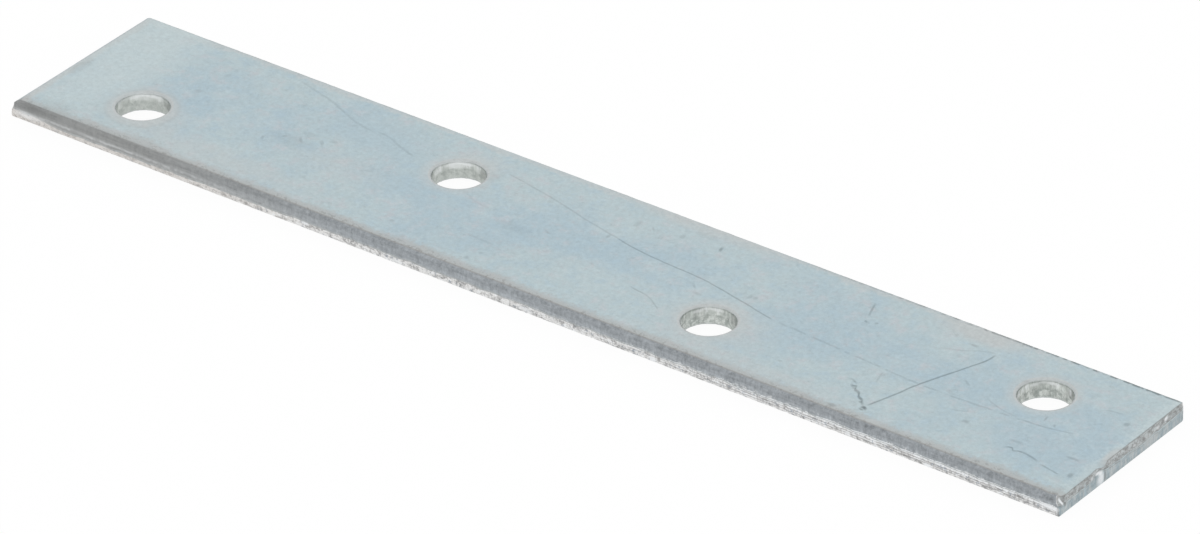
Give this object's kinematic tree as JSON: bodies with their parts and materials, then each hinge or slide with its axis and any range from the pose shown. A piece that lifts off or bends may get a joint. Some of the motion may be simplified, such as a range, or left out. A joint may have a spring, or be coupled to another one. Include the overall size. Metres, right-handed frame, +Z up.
{
  "type": "mending plate",
  "caption": "Flat straight zinc plated steel mending plate with sheared edges and plain punched screw holes set in a zigzag.",
  "frame": {"origin": "centre of the underside, on the surface that it lies on", "axes": "+X along the length, +Y across the width, +Z up through the thickness, out of the face that the holes were punched from"},
  "size_m": [0.15, 0.025, 0.0025],
  "materials": {
    "zinc_plate": "zinc plated, pale blue passivated, lightly scuffed"
  },
  "bodies": {
    "root": {"plate": "zinc_plate"}
  },
  "joints": []
}
